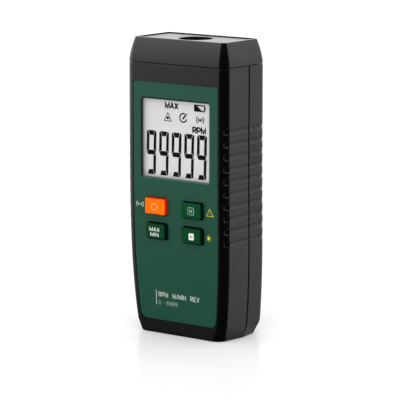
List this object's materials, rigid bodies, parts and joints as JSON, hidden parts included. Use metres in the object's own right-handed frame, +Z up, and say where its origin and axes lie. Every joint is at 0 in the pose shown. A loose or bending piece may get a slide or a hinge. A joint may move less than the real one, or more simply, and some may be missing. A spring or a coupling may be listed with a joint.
{
  "type": "laser tachometer",
  "caption": "Hand-held non-contact tachometer: a slim black case with a green face, a large digit display, push keys, scooped side grips and a round aperture in its nose.",
  "frame": {"origin": "centre of the base of the box around the whole instrument", "axes": "+Z up from the base to the nose, the face with the display looks along -Y, +X to the right of someone facing it"},
  "size_m": [0.066, 0.042, 0.1604],
  "materials": {
    "black_plastic": "moulded, fine satin grain",
    "green_panel": "satin film",
    "green_key": "satin",
    "orange_key": "satin",
    "clear_window": "clear acrylic",
    "display_glass": "reflective grey",
    "dark_filter": "dark red filter, polished",
    "lens_glass": "polished",
    "white_plastic": "moulded",
    "strip_rubber": "smooth",
    "board": "solder mask",
    "chip_resin": "moulded",
    "steel": "zinc plated",
    "brass": "turned",
    "battery_wrapper": "printed sleeve"
  },
  "bodies": {
    "case": {"front_case": "black_plastic", "rear_case": "black_plastic", "top_cap": "black_plastic", "face_panel": "green_panel", "display_window": "clear_window", "lcd_glass": "display_glass", "backlight_panel": "white_plastic", "lcd_frame": "white_plastic", "zebra_strip": "strip_rubber", "switch_power": "chip_resin", "switch_memory": "chip_resin", "switch_max_min": "chip_resin", "switch_hold": "chip_resin", "main_board": "board", "processor": "chip_resin", "radio_module": "steel", "case_screw_1": "steel", "case_screw_2": "steel", "case_screw_3": "steel", "case_screw_4": "steel", "board_screw_1": "steel", "board_screw_2": "steel", "board_screw_3": "steel", "board_screw_4": "steel", "optics_block": "black_plastic", "collecting_lens": "lens_glass", "laser_module": "brass", "aperture_window": "dark_filter", "sensor_board": "board", "photodiode": "chip_resin", "battery": "battery_wrapper", "contact_plus": "steel", "contact_minus": "steel", "contact_board": "board", "tripod_insert": "brass"},
    "key_power_body": {"key_power": "orange_key", "plunger_power": "steel"},
    "key_memory_body": {"key_memory": "green_key", "plunger_memory": "steel"},
    "key_max_min_body": {"key_max_min": "green_key", "plunger_max_min": "steel"},
    "key_hold_body": {"key_hold": "green_key", "plunger_hold": "steel"},
    "door": {"battery_door": "black_plastic"}
  },
  "joints": [
    {"name": "power_press", "type": "slide", "parent": "case", "child": "key_power_body", "axis": [0, 1, 0], "range_m": [0, 0.0006], "stiffness_N_per_m": 800, "springref_m": -0.0003},
    {"name": "memory_press", "type": "slide", "parent": "case", "child": "key_memory_body", "axis": [0, 1, 0], "range_m": [0, 0.0006], "stiffness_N_per_m": 800, "springref_m": -0.0003},
    {"name": "max_min_press", "type": "slide", "parent": "case", "child": "key_max_min_body", "axis": [0, 1, 0], "range_m": [0, 0.0006], "stiffness_N_per_m": 800, "springref_m": -0.0003},
    {"name": "hold_press", "type": "slide", "parent": "case", "child": "key_hold_body", "axis": [0, 1, 0], "range_m": [0, 0.0006], "stiffness_N_per_m": 800, "springref_m": -0.0003},
    {"name": "door_hinge", "type": "hinge", "parent": "case", "child": "door", "pos_m": [0, 0.01929, 0.01355], "axis": [-1, 0, 0], "range_deg": [0, 75]}
  ]
}
